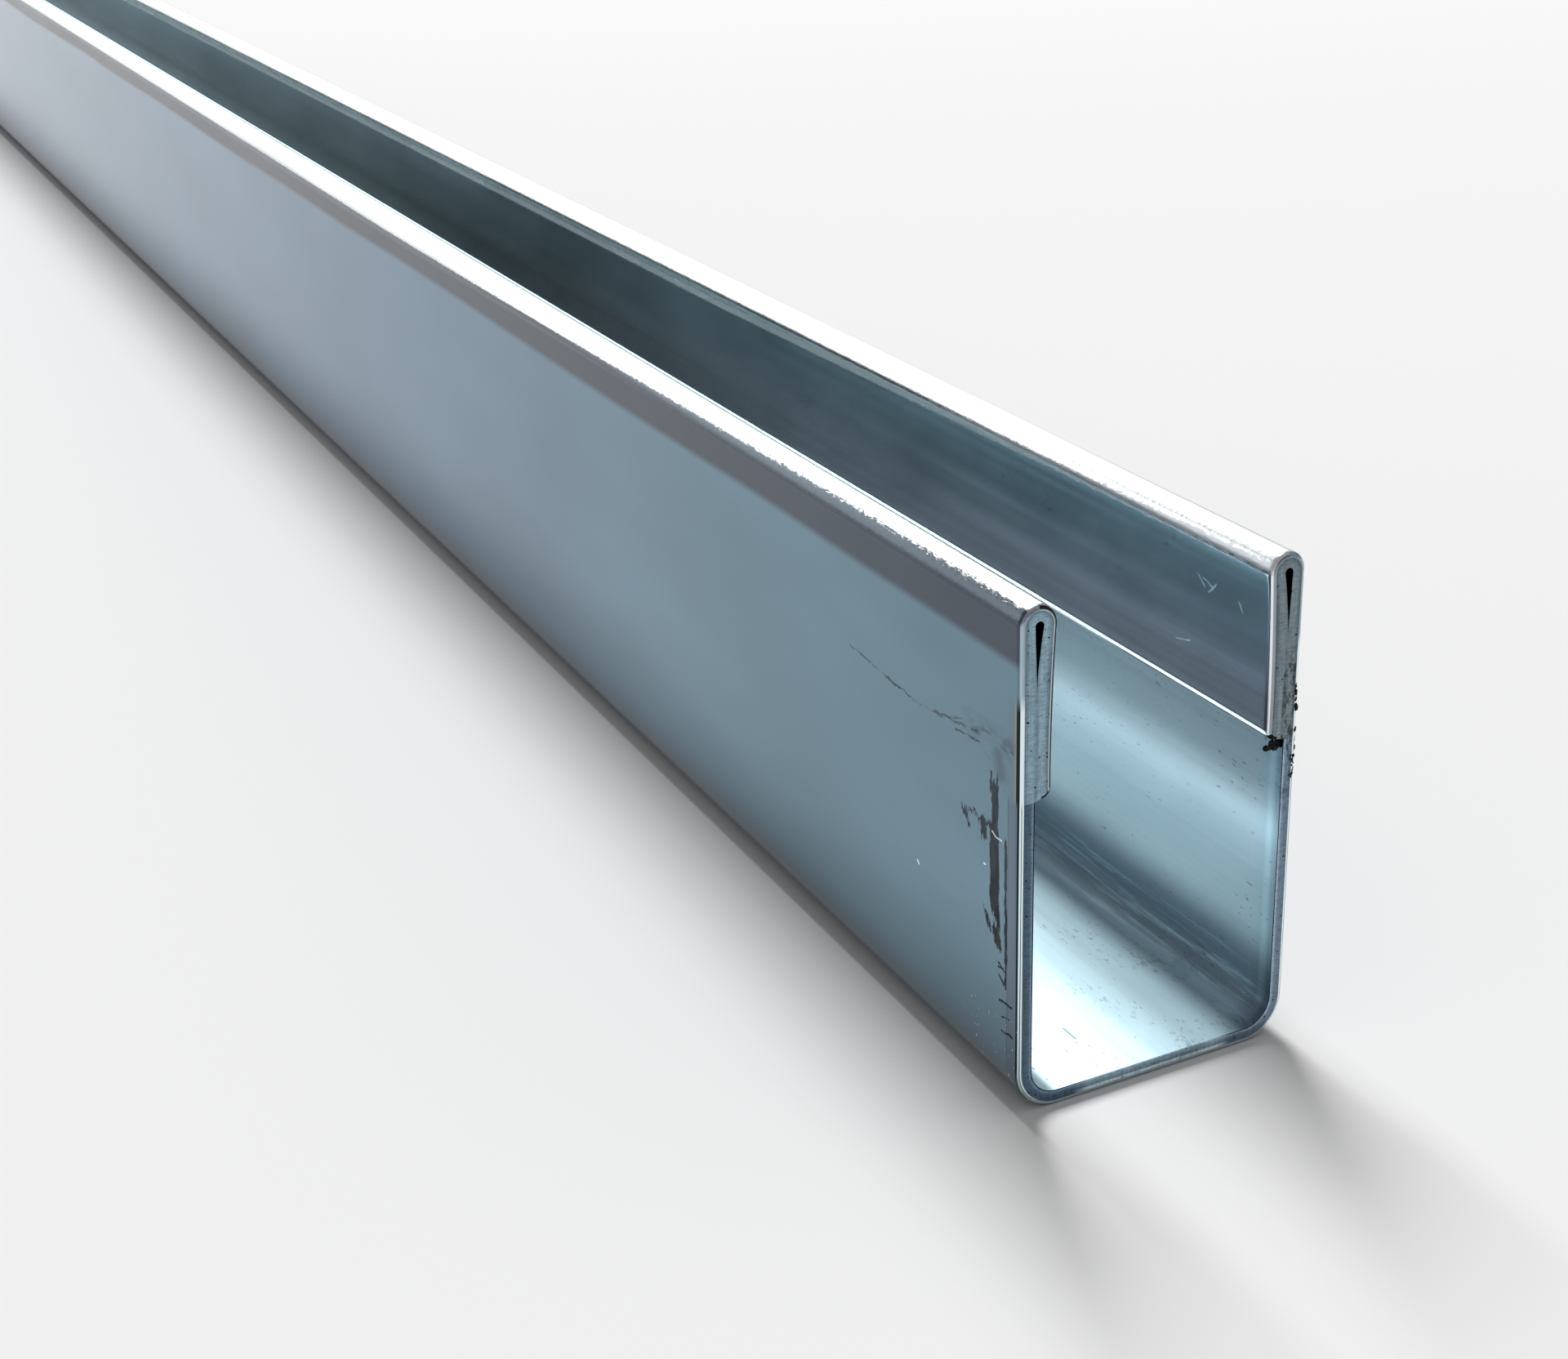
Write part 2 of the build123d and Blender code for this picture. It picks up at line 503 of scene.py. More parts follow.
def new_material(name):
    """An empty material, its node tree, and the coordinates of the piece in metres."""
    material = bpy.data.materials.new(name)
    material.use_nodes = True
    tree = material.node_tree
    tree.nodes.clear()
    place = add(tree, "ShaderNodeTexCoord").outputs["Object"]
    return material, tree, place


def surface(tree, inputs):
    """Ends a material's tree in a principled surface with these inputs."""
    shader = add(tree, "ShaderNodeBsdfPrincipled", inputs)
    add(tree, "ShaderNodeOutputMaterial", {"Surface": shader})


def measured(tree, place):
    """X, Y and Z of a point, Y without its sign, and the distance from the nearer cut."""
    x, y, z = add(tree, "ShaderNodeSeparateXYZ", {0: place}).outputs
    spread = add(tree, "ShaderNodeMath", {0: y}, operation="ABSOLUTE")
    from_middle = add(tree, "ShaderNodeMath", {0: x}, operation="ABSOLUTE")
    distance = add(tree, "ShaderNodeMath", {0: HIGH.x, 1: from_middle}, operation="SUBTRACT")
    return x, y, z, spread, distance


def stretched_noise(tree, place, size, detail=2.0, rough=0.5, levels=None):
    """Noise whose grains measure size, in millimetres along X, Y and Z.

    levels are two of its values, and then the two that they are spread or drawn in to.
    """
    scaled = add(tree, "ShaderNodeMapping",
                 {"Vector": place, "Scale": [1 / (side * MM) for side in size]})
    noise = add(tree, "ShaderNodeTexNoise",
                {"Vector": scaled, "Scale": 1.0, "Detail": detail, "Roughness": rough})
    if not levels:
        return noise
    names = ("From Min", "From Max", "To Min", "To Max")
    return add(tree, "ShaderNodeMapRange", {"Value": noise, **dict(zip(names, levels))})


def lay_bands(tree, base, across, bands, where=1.0):
    """Lays bands of colour over the base, read across an edge, as far as where allows."""
    first, last = bands[0][0], bands[-1][0]
    share = add(tree, "ShaderNodeMapRange",
                {"Value": across, "From Min": first * MM, "From Max": last * MM})
    ramp = add(tree, "ShaderNodeValToRGB", {0: share})
    stops = ramp.color_ramp.elements
    stops.remove(stops[1])
    for i, (at, colour, cover) in enumerate(bands):
        spot = (at - first) / (last - first)
        stop = stops.new(spot) if i else stops[0]
        stop.position = spot
        stop.color = (*linear(colour)[:3], cover)
    cover = add(tree, "ShaderNodeMath", {0: ramp.outputs["Alpha"], 1: where},
                operation="MULTIPLY")
    return add(tree, "ShaderNodeMix", {"Factor": cover, 6: base, 7: ramp}, data_type="RGBA")


def flange_marks(tree, place):
    """Masks of the film, of the dark dirt and of the bright scratches near the cut end."""
    x, y, z = add(tree, "ShaderNodeSeparateXYZ", {0: place}).outputs
    from_cut = add(tree, "ShaderNodeMath", {0: HIGH.x, 1: x}, operation="SUBTRACT")
    on_flange = add(tree, "ShaderNodeMath", {0: y, 1: LOW.y + OUTER_SKIN},
                    operation="LESS_THAN")
    on_leg = add(tree, "ShaderNodeMath", {0: y, 1: LEG_MIDDLE, 2: LEG_REACH},
                 operation="COMPARE")

    # The film was dragged downwards, so its edges are frayed more along Z than along X
    ragged = stretched_noise(tree, place, (0.12, 0.12, 0.7), 4.0, 0.7).outputs["Color"]
    shake = add(tree, "ShaderNodeVectorMath", {0: ragged, 1: HALVES}, operation="SUBTRACT")
    shake_x, _, shake_z = add(tree, "ShaderNodeSeparateXYZ", {0: shake}).outputs
    along, up = (
        add(tree, "ShaderNodeMath", {0: shift, 1: reach * MM, 2: start}, operation="MULTIPLY_ADD")
        for shift, reach, start in ((shake_x, 0.45, from_cut), (shake_z, 1.5, z)))
    film = strokes(tree, along, up, SMEARS, soft=0.03)
    thin = stretched_noise(tree, place, (0.5, 0.5, 1.2), 4.0, 0.65, (0.35, 0.6, 0.9, 1.0))
    film = add(tree, "ShaderNodeMath", {0: film, 1: thin}, {1: on_flange}, operation="MULTIPLY")

    # The dirt line wanders a little and breaks, inside a soft smudge
    wander = stretched_noise(tree, place, (0.9, 0.5, 0.5), 3.0, 0.6)
    wander = add(tree, "ShaderNodeMath", {0: wander, 1: 0.5}, operation="SUBTRACT")
    height = add(tree, "ShaderNodeMath", {0: wander, 1: 0.5 * MM, 2: z},
                 operation="MULTIPLY_ADD")
    breaks = stretched_noise(tree, place, (1.0, 1.0, 0.5), 3.0, levels=(0.38, 0.55, 0.1, 0.8))
    line, smudge, nicks, scratch, leg_scratch = (
        strokes(tree, from_cut, height, marks, soft) for marks, soft in (
            (DIRT_LINE, 0.06), (DIRT_SMUDGE, 0.7), (NICKS, 0.03), (FLANGE_SCRATCHES, 0.02),
            (LEG_SCRATCHES, 0.04)))
    line = add(tree, "ShaderNodeMath", {0: line, 1: breaks}, operation="MULTIPLY")
    smudge = add(tree, "ShaderNodeMath", {0: smudge, 1: breaks}, {1: 0.45}, operation="MULTIPLY")
    dirt = add(tree, "ShaderNodeMath", {0: line, 1: smudge}, {1: nicks}, operation="MAXIMUM")
    dirt = add(tree, "ShaderNodeMath", {0: dirt, 1: on_flange}, operation="MULTIPLY")

    # Fine bright nicks low on the flange, within a few millimetres of the cut
    speck = stretched_noise(tree, place, (0.16, 0.16, 0.28), 1.0, levels=(0.70, 0.74, 0.0, 1.0))
    low, close = (
        add(tree, "ShaderNodeMapRange",
            {"Value": value, "From Min": first * MM, "From Max": last * MM, "To Max": full})
        for value, first, last, full in ((z, 5.0, 4.4, 0.7), (from_cut, 5.5, 3.5, 1.0)))
    speck = add(tree, "ShaderNodeMath", {0: speck, 1: low}, {1: close}, {1: on_flange},
                operation="MULTIPLY")
    scratch = add(tree, "ShaderNodeMath", {0: scratch, 1: on_flange}, operation="MULTIPLY")
    leg_scratch = add(tree, "ShaderNodeMath", {0: leg_scratch, 1: on_leg}, {1: 0.6},
                      operation="MULTIPLY")
    bright = add(tree, "ShaderNodeMath", {0: scratch, 1: leg_scratch}, {1: speck},
                 operation="MAXIMUM")
    return film, dirt, bright


# Painted reflection on the far folded leg: its tones by the height above the floor in millimetres
LEG_TONES = (
    (15.8, "#ada2a7", 1), (16.9, "#ada2a7", 1), (17.6, "#c6babf", 1), (18.4, "#dccfd5", 1),
    (20.4, "#e6d8de", 1), (21.6, "#f4e6ea", 1), (23.0, "#e0d4d6", 1), (25.0, "#e0d4d6", 1),
)

# Bands beside the cut on the polished skin: painted highlights and painted dark reflections on
# the rolled edge, with some tones of the edge itself. Each stop is the distance from the cut
# less the depth under the skin, in millimetres, so it starts at minus the roll on the cut
# face. Then come the colour and how far it covers the skin
FLANGE_BANDS = (
    (-0.25, "#eef6f6", 0.95), (-0.165, "#e6f4f5", 0.95), (-0.145, "#5d747c", 0.9),
    (-0.115, "#5d747c", 0.9), (-0.095, "#e9fcff", 0.95), (-0.01, "#e9fcff", 0.95),
    (0.02, "#0c1820", 0.95), (0.13, "#0c1820", 0.95), (0.18, "#626d7b", 0.75),
    (0.85, "#626d7b", 0.65), (0.88, "#39424d", 0.6), (0.93, "#39424d", 0.5), (0.97, "#39424d", 0),
)
HEM_BANDS = (
    (-0.25, "#d5e4e9", 0.95), (-0.15, "#eaf6f8", 0.95), (-0.02, "#e2f2f6", 0.95),
    (0.02, "#161d22", 0.95), (0.24, "#161d22", 0.95), (0.28, "#8d8877", 0.85),
    (0.40, "#8d8877", 0.8), (0.48, "#62707f", 0.3), (0.85, "#62707f", 0.3), (1.0, "#62707f", 0),
)
FOLD_BANDS = (
    (-0.25, "#8797a1", 0.9), (-0.15, "#a0b2bc", 0.9), (-0.02, "#b4c8d1", 0.9),
    (0.06, "#a6bac4", 0.7), (0.12, "#4a5660", 0.4), (0.2, "#4a5660", 0),
)
LEG_BANDS = (
    (-0.25, "#858e96", 0.95), (-0.07, "#939ca4", 0.95), (-0.04, "#eef8fa", 0.95),
    (0.02, "#eef8fa", 0.95), (0.05, "#8a979e", 0),
)
BACK_BANDS = (
    (-0.25, "#9aa6ad", 0.9), (-0.19, "#b0bcc2", 0.9), (-0.16, "#10161b", 0.95),
    (0.05, "#10161b", 0.95), (0.1, "#10161b", 0),
)
WEB_BANDS = (
    (-0.25, "#c4d8e1", 0.95), (-0.1, "#e2f0f5", 0.95), (0.0, "#c4d8e1", 0.9), (0.1, "#c4d8e1", 0),
)


def cut_bands(tree, base, across, z, sides):
    """Lays the bands by the cut, painted highlights and painted dark reflections, on each part of
    the polished skin.

    across is the distance from the cut less the depth under the skin, and sides are masks of
    the outer skin, the inner skin and the far half.
    """
    outside, inside, far = sides
    raised, beside_hem, in_fold = (
        add(tree, "ShaderNodeMapRange", {"Value": z, "From Min": first * MM, "From Max": last * MM})
        for first, last in ((0.6, 2.4), (TOP - 9.4, TOP - 9.0), (TOP - 4.8, TOP - 4.0)))
    flange, hem, leg = (
        add(tree, "ShaderNodeMath", {0: side, 1: span}, operation="MULTIPLY")
        for side, span in ((outside, raised), (outside, beside_hem), (inside, beside_hem)))
    far_leg = add(tree, "ShaderNodeMath", {0: leg, 1: far}, operation="MULTIPLY")
    near_leg = add(tree, "ShaderNodeMath", {0: leg, 1: far_leg}, operation="SUBTRACT")
    fold = add(tree, "ShaderNodeMath", {0: hem, 1: in_fold}, operation="MULTIPLY")
    parts = ((WEB_BANDS, 1.0), (FLANGE_BANDS, flange), (HEM_BANDS, hem), (FOLD_BANDS, fold),
             (LEG_BANDS, far_leg), (BACK_BANDS, near_leg))
    plain = base
    for bands, where in parts:
        laid = lay_bands(tree, plain, across, bands)
        base = add(tree, "ShaderNodeMix", {"Factor": where, 6: base, 7: laid}, data_type="RGBA")
    return base


def mirror_stainless(name, finish, marked):
    """Stainless sheet polished to a mirror before it was folded.

    The eye gets sharp reflections that waver a little along the strip, a duller band where
    the hem was closed that is painted darker as a painted reflection, a pale worn crown on the
    fold whose paleness is a painted highlight over a painted grey shoulder, painted bright and
    dark lines on the rolled edge round the cut, and dried residue near it.
    """
    material, tree, place = new_material(name)
    _, y, z, spread, distance = measured(tree, place)
    bend, depth = (add(tree, "ShaderNodeAttribute", attribute_name=kind).outputs["Fac"]
                   for kind in ("bend", "depth"))
    out = add(tree, "ShaderNodeAttribute", attribute_name="out").outputs["Vector"]
    up = add(tree, "ShaderNodeSeparateXYZ", {0: out}).outputs["Z"]
    far = add(tree, "ShaderNodeMath", {0: y, 1: 0}, operation="GREATER_THAN")
    inside = add(tree, "ShaderNodeMath", {0: spread, 1: HIGH.y - OUTER_SKIN},
                 operation="LESS_THAN")
    outside = add(tree, "ShaderNodeMath", {0: 1, 1: inside}, operation="SUBTRACT")
    is_high = add(tree, "ShaderNodeMath", {0: z, 1: LEG_ABOVE}, operation="GREATER_THAN")
    on_leg = add(tree, "ShaderNodeMath", {0: inside, 1: is_high}, operation="MULTIPLY")

    # Painted reflection: the outer skin is painted bluer with the distance from the cut and
    # greyer and darker towards the bottom bend, and the leg is painted darker with the distance
    deep, away = (
        add(tree, "ShaderNodeMapRange",
            {"Value": distance, "From Min": first * MM, "From Max": last * MM},
            interpolation_type="SMOOTHSTEP") for first, last in ((10, 110), (0, 100)))
    low, inward, leg_away = (
        add(tree, "ShaderNodeMapRange",
            {"Value": value, "From Min": first * MM, "From Max": last * MM, "To Max": full})
        for value, first, last, full in (
            (z, 3.6, 1.0, 0.85), (distance, 0, 110, 1.0), (distance, 0, 60, 1.0)))
    skin = add(tree, "ShaderNodeMix", {"Factor": deep, 6: (*finish.mirror, 1), 7: "#5f7c94"},
               {"Factor": low, 7: "#6a6e75"}, data_type="RGBA")
    brush = stretched_noise(tree, place, (70, 0.9, 0.9), 3.0, 0.6, (0.35, 0.65, 0.9, 1.09))
    leg = lay_bands(tree, (*finish.leg, 1), z, LEG_TONES, far)
    leg = add(tree, "ShaderNodeMix", {"Factor": inward, 6: leg, 7: "#34383b"}, data_type="RGBA")
    leg = add(tree, "ShaderNodeMix", {"Factor": 1.0, 6: leg, 7: brush}, data_type="RGBA",
              blend_type="MULTIPLY")
    base = add(tree, "ShaderNodeMix", {"Factor": on_leg, 6: skin, 7: leg}, data_type="RGBA")

    # The duller band beside the fold, on the outer faces only, is painted darker as a painted
    # reflection, darker still away from the cut
    drift = stretched_noise(tree, place, (30, 30, 30), 1.0)
    drift = add(tree, "ShaderNodeMath", {0: drift, 1: 0.6 * MM, 2: z}, operation="MULTIPLY_ADD")
    band = add(tree, "ShaderNodeMapRange",
               {"Value": drift, "From Min": HAZE_START, "From Max": HAZE_FULL},
               interpolation_type="SMOOTHSTEP")
    band = add(tree, "ShaderNodeMath", {0: band, 1: outside}, operation="MULTIPLY")
    hazed = add(tree, "ShaderNodeMix", {"Factor": inward, 6: (*finish.haze, 1), 7: "#3c434c"},
                data_type="RGBA")
    base = add(tree, "ShaderNodeMix", {"Factor": band, 6: base, 7: hazed}, data_type="RGBA")

    # The shoulder of the fold is painted grey, a painted shade, on the outer side and pale, a
    # painted highlight, on the leg's side; the crown above it is painted white, a painted
    # highlight with a torn edge. The crown starts lower on the leg's side, and lower away from
    # the cut
    torn = stretched_noise(tree, place, (0.4, 0.12, 0.12), 4.0, 0.75)
    torn = add(tree, "ShaderNodeMath", {0: torn, 1: 0.5}, operation="SUBTRACT")
    raggedness = add(tree, "ShaderNodeMapRange",
                     {"Value": distance, "From Min": 5 * MM, "From Max": 50 * MM,
                      "To Min": 0.8 * MM, "To Max": 0.3 * MM})
    start, leg_start = (
        add(tree, "ShaderNodeMix", {0: share, 2: HIGH.z - by_cut * MM, 3: HIGH.z - beyond * MM})
        for share, by_cut, beyond in ((away, 0.22, 1.0), (leg_away, 0.47, 1.3)))
    start = add(tree, "ShaderNodeMix", {0: on_leg, 2: start, 3: leg_start})
    over = add(tree, "ShaderNodeMath", {0: torn, 1: raggedness, 2: z}, operation="MULTIPLY_ADD")
    over = add(tree, "ShaderNodeMath", {0: over, 1: start}, operation="SUBTRACT")
    shoulder, crown = (
        add(tree, "ShaderNodeMapRange",
            {"Value": over, "From Min": first * MM, "From Max": last * MM})
        for first, last in ((-0.5, -0.34), (0, 0.08)))
    grey = add(tree, "ShaderNodeMix", {"Factor": on_leg, 6: "#59626a", 7: "#d5dde2"},
               data_type="RGBA")
    base = add(tree, "ShaderNodeMix", {"Factor": shoulder, 6: base, 7: grey},
               {"Factor": crown, 7: (*finish.crown, 1)}, data_type="RGBA")

    # The rolled lower edge of the leg is painted near white, a painted highlight
    under = add(tree, "ShaderNodeMapRange", {"Value": up, "From Min": -0.01, "From Max": -0.05})
    under = add(tree, "ShaderNodeMath", {0: under, 1: on_leg}, operation="MULTIPLY")
    base = add(tree, "ShaderNodeMix", {"Factor": under, 6: base, 7: "#f4fafb"}, data_type="RGBA")

    smudge = stretched_noise(tree, place, (25, 25, 8), 2.0)
    tone, rough = (
        add(tree, "ShaderNodeMapRange",
            {"Value": smudge, "From Min": least, "From Max": 0.7, "To Min": low, "To Max": high})
        for least, low, high in ((0.3, 0.86, 1.06), (0.35, 0.03, 0.08)))
    base = add(tree, "ShaderNodeMix", {"Factor": 1.0, 6: base, 7: tone}, data_type="RGBA",
               blend_type="MULTIPLY")
    across = add(tree, "ShaderNodeMath", {0: distance, 1: depth}, operation="SUBTRACT")
    base = cut_bands(tree, base, across, z, (outside, inside, far))
    hazy = add(tree, "ShaderNodeMath", {0: shoulder, 1: crown}, operation="SUBTRACT")
    hazy = add(tree, "ShaderNodeMath", {0: hazy, 1: on_leg}, operation="MULTIPLY")
    rough = add(tree, "ShaderNodeMath", {0: bend, 1: 0.06, 2: rough}, {0: band, 1: 0.16},
                {0: crown, 1: 0.12}, {0: hazy, 1: 0.22}, operation="MULTIPLY_ADD")
    metal = add(tree, "ShaderNodeMath", {0: hazy, 1: -0.5, 2: 1.0}, operation="MULTIPLY_ADD")
    gloss = 0.5
    if marked:
        film, dirt, scratch = flange_marks(tree, place)
        # A painted shade: a dark line on the downward part of the leg's rolled edge near the cut
        shade = add(tree, "ShaderNodeMapRange",
                    {"Value": up, "From Min": -0.36, "From Max": -0.42})
        shown, thick = (
            add(tree, "ShaderNodeMapRange",
                {"Value": value, "From Min": first * MM, "From Max": last * MM})
            for value, first, last in ((distance, 16, 12), (z, 12, 9.5)))
        shade = add(tree, "ShaderNodeMath", {0: shade, 1: on_leg}, {1: shown},
                    operation="MULTIPLY")
        dried = add(tree, "ShaderNodeMix", {"Factor": thick, 6: "#2f3740", 7: "#171c23"},
                    data_type="RGBA")
        base = add(tree, "ShaderNodeMix", {"Factor": shade, 6: base, 7: "#10181c"},
                   {"Factor": film, 7: dried}, {"Factor": dirt, 7: "#1d262e"},
                   {"Factor": scratch, 7: "#e8f0f2"}, data_type="RGBA")
        worn = add(tree, "ShaderNodeMath", {0: film, 1: dirt}, operation="MAXIMUM")
        metal = add(tree, "ShaderNodeMath", {0: worn, 1: -0.8, 2: metal},
                    operation="MULTIPLY_ADD", use_clamp=True)
        gloss = add(tree, "ShaderNodeMath", {0: worn, 1: -0.42, 2: 0.5},
                    operation="MULTIPLY_ADD")
        matt = add(tree, "ShaderNodeMath", {0: worn, 1: scratch}, operation="MAXIMUM")
        rough = add(tree, "ShaderNodeMath", {0: matt, 1: 0.35, 2: rough},
                    operation="MULTIPLY_ADD")

    # Long waves of the rolled strip, and the orange peel that the fold brings out
    wave = stretched_noise(tree, place, (70, 5, 5), 1.0)
    waves = add(tree, "ShaderNodeBump",
                {"Strength": 1.0, "Distance": 0.012 * MM, "Height": wave})
    peel = stretched_noise(tree, place, (0.35, 0.22, 0.22), 2.0)
    peel = add(tree, "ShaderNodeMath", {0: peel, 1: bend}, operation="MULTIPLY")
    peeled = add(tree, "ShaderNodeBump",
                 {"Strength": 1.0, "Distance": 0.012 * MM, "Height": peel, "Normal": waves})
    surface(tree, {"Base Color": base, "Metallic": metal, "Roughness": rough,
                   "Specular IOR Level": gloss, "Normal": peeled})
    return material


# Bands beside the cut on the satin side, by the distance from the cut in millimetres
SATIN_BANDS = (
    (0.0, "#5e7480", 0.6), (0.3, "#6f8692", 0.5), (0.6, "#b9cad2", 0.3), (0.8, "#b9cad2", 0.3),
    (1.0, "#8fa5b0", 0.25), (1.8, "#8fa5b0", 0),
)

# A scratch on the web, as the distance from the cut and Y in millimetres
WEB_SCRATCH = (((4.30, -2.28), (3.20, -2.26), 0.012),)


def satin_stainless(colour):
    """The mill finish inside, cold rolled, annealed and pickled.

    The eye gets a pale satin with soft streaks along the strip, roller lines in the bends,
    grey smudges and short dark dashes, with painted light and shade on the walls and a painted
    shade in the far bend.
    """
    material, tree, place = new_material("satin_mill_stainless")
    x, y, z, _, distance = measured(tree, place)
    streak = stretched_noise(tree, place, (60, 0.5, 0.5), 3.0, 0.6)
    broad = stretched_noise(tree, place, (120, 2.2, 2.2), 1.0)
    smudge = stretched_noise(tree, place, (9, 5, 5), 3.0, 0.6)
    mix = add(tree, "ShaderNodeMath", {0: streak, 1: 0.4, 2: 0.0}, {0: broad, 1: 0.3},
              {0: smudge, 1: 0.3}, operation="MULTIPLY_ADD")
    tone, rough = (
        add(tree, "ShaderNodeMapRange",
            {"Value": mix, "From Min": 0.5 - swing, "From Max": 0.5 + swing,
             "To Min": least, "To Max": most})
        for swing, least, most in ((0.12, 0.92, 1.04), (0.15, 0.45, 0.52)))

    # The web is paler and more matt than the walls, which the folding dies rubbed. The walls'
    # colours are painted light and shade: the near wall painted paler than the far one, the far
    # wall paler low down, and both darker with the distance from the cut
    out = add(tree, "ShaderNodeAttribute", attribute_name="out").outputs["Vector"]
    level = add(tree, "ShaderNodeSeparateXYZ", {0: out}).outputs["Z"]
    rubbed = add(tree, "ShaderNodeMapRange",
                 {"Value": level, "From Min": 0.3, "From Max": 0.9, "To Min": 1.0, "To Max": 0.0})
    far = add(tree, "ShaderNodeMath", {0: y, 1: 0}, operation="GREATER_THAN")
    inward, lower, upper, by_cut, near_dash, near_spot, far_half, smooth = (
        add(tree, "ShaderNodeMapRange",
            {"Value": value, "From Min": first * MM, "From Max": last * MM, "To Max": full})
        for value, first, last, full in (
            (distance, 35, 125, 1.0), (z, 10, 7.2, 1.0), (z, 1.4, 3.2, 1.0),
            (distance, 1.7, 0.2, 0.75), (distance, 7, 1, 0.05), (distance, 9, 4, 0.05),
            (y, -1.5, 1.5, 1.0), (z, 1.5, 5.5, -0.29)))
    wall = add(tree, "ShaderNodeMix", {"Factor": lower, 6: "#a6a9ac", 7: "#bbc3c7"},
               data_type="RGBA")
    wall = add(tree, "ShaderNodeMix", {"Factor": far, 6: "#d1dbe2", 7: wall},
               {"Factor": inward, 7: "#5b6266"}, data_type="RGBA")
    base = add(tree, "ShaderNodeMix", {"Factor": rubbed, 6: (*colour, 1), 7: wall},
               data_type="RGBA")
    base = add(tree, "ShaderNodeMix", {"Factor": 1.0, 6: base, 7: tone}, data_type="RGBA",
               blend_type="MULTIPLY")

    # The far corner is dull and painted darker, a painted shade under the far hem, with pale
    # broken lines along it, and darker still by the cut
    from_web, from_wall = (
        add(tree, "ShaderNodeMapRange",
            {"Value": value, "From Min": first * MM, "From Max": last * MM},
            interpolation_type="SMOOTHSTEP")
        for value, first, last in ((y, 3.6, 5.8), (z, 5.8, 2.8)))
    corner = add(tree, "ShaderNodeMath", {0: from_web, 1: from_wall}, operation="MULTIPLY")
    middle = add(tree, "ShaderNodeMath", {0: z, 1: ROLLER_HEIGHT}, operation="SUBTRACT")
    middle = add(tree, "ShaderNodeMath", {0: middle}, operation="ABSOLUTE")
    middle = add(tree, "ShaderNodeMapRange",
                 {"Value": middle, "From Min": 1.5 * MM, "From Max": 0.1 * MM})
    roller = stretched_noise(tree, place, (5, 0.25, 0.25), 4.0, 0.65, (0.5, 0.66, 0.0, 1.0))
    lines = add(tree, "ShaderNodeMath", {0: roller, 1: middle}, operation="MULTIPLY")
    bent = add(tree, "ShaderNodeMix", {"Factor": upper, 6: "#748f9d", 7: "#7f8a97"},
               {"Factor": middle, 7: "#929eaa"}, {"Factor": lines, 7: "#bcd3dd"},
               {"Factor": by_cut, 7: "#2c3e48"}, data_type="RGBA")
    base = add(tree, "ShaderNodeMix", {"Factor": corner, 6: base, 7: bent}, data_type="RGBA")

    # Short dashes, closer together near the cut
    dash = stretched_noise(tree, place, (0.55, 0.13, 0.13), 1.0)
    patch = stretched_noise(tree, place, (5, 3, 3), 1.0)
    dash = add(tree, "ShaderNodeMath", {0: patch, 1: 0.25, 2: dash}, {0: near_dash, 1: 1.0},
               operation="MULTIPLY_ADD")
    dash = add(tree, "ShaderNodeMapRange",
               {"Value": dash, "From Min": 0.86, "From Max": 0.92, "To Max": 0.6})
    base = add(tree, "ShaderNodeMix", {"Factor": dash, 6: base, 7: "#3a444a"}, data_type="RGBA")
    base = lay_bands(tree, base, distance, SATIN_BANDS, rubbed)

    # Grey spots on the far half of the web, and one scratch
    spot = stretched_noise(tree, place, (0.7, 0.4, 0.4), 3.0, 0.7)
    crowd = stretched_noise(tree, place, (5, 2.5, 2.5), 1.0)
    spot = add(tree, "ShaderNodeMath", {0: crowd, 1: 0.5, 2: spot}, {0: near_spot, 1: 1.0},
               operation="MULTIPLY_ADD")
    spot = add(tree, "ShaderNodeMapRange",
               {"Value": spot, "From Min": 0.87, "From Max": 1.02, "To Max": 0.6})
    from_cut = add(tree, "ShaderNodeMath", {0: HIGH.x, 1: x}, operation="SUBTRACT")
    scratch = strokes(tree, from_cut, y, WEB_SCRATCH, soft=0.06)
    spot = add(tree, "ShaderNodeMath", {0: spot, 1: far_half}, operation="MULTIPLY")
    spot = add(tree, "ShaderNodeMath", {0: spot, 1: scratch}, operation="MAXIMUM")
    spot = add(tree, "ShaderNodeMath", {0: spot, 1: level}, operation="MULTIPLY", use_clamp=True)
    # Painted shade: the seam and the eye are painted near black
    grime = add(tree, "ShaderNodeAttribute", attribute_name="grime").outputs["Fac"]
    base = add(tree, "ShaderNodeMix", {"Factor": spot, 6: base, 7: "#5f8290"},
               {"Factor": grime, 7: "#15181b"}, data_type="RGBA")
    rough = add(tree, "ShaderNodeMath", {0: grime, 1: 0.4, 2: rough}, {0: rubbed, 1: smooth},
                {0: corner, 1: 0.15}, operation="MULTIPLY_ADD")
    relief = add(tree, "ShaderNodeBump",
                 {"Strength": 1.0, "Distance": 0.0012 * MM, "Height": streak})
    surface(tree, {"Base Color": base, "Metallic": 1.0, "Roughness": rough, "Normal": relief})
    return material


# Bands of the torn cut face, by the depth under the polished skin in millimetres
LOW_CUT = (
    (0.20, "#53697b", 1), (0.40, "#516677", 1), (0.60, "#586f82", 1), (0.72, "#8299ad", 1),
    (0.74, "#8299ad", 1), (0.755, "#0f151a", 1), (0.80, "#0f151a", 1),
)
WEB_CUT = (
    (0.20, "#dcecf4", 1), (0.30, "#d4e6ef", 1), (0.38, "#e2f2f9", 1), (0.42, "#87a1ae", 1),
    (0.50, "#7d98a5", 1), (0.60, "#8fabb9", 1), (0.72, "#9dbac8", 1), (0.75, "#c4dae4", 1),
    (0.80, "#b9ceda", 1),
)
HEM_CUT = (
    (0.20, "#637989", 1), (0.32, "#7a92a0", 1), (0.45, "#90aab9", 1), (0.68, "#96b1c0", 1),
    (0.80, "#839dac", 1),
)


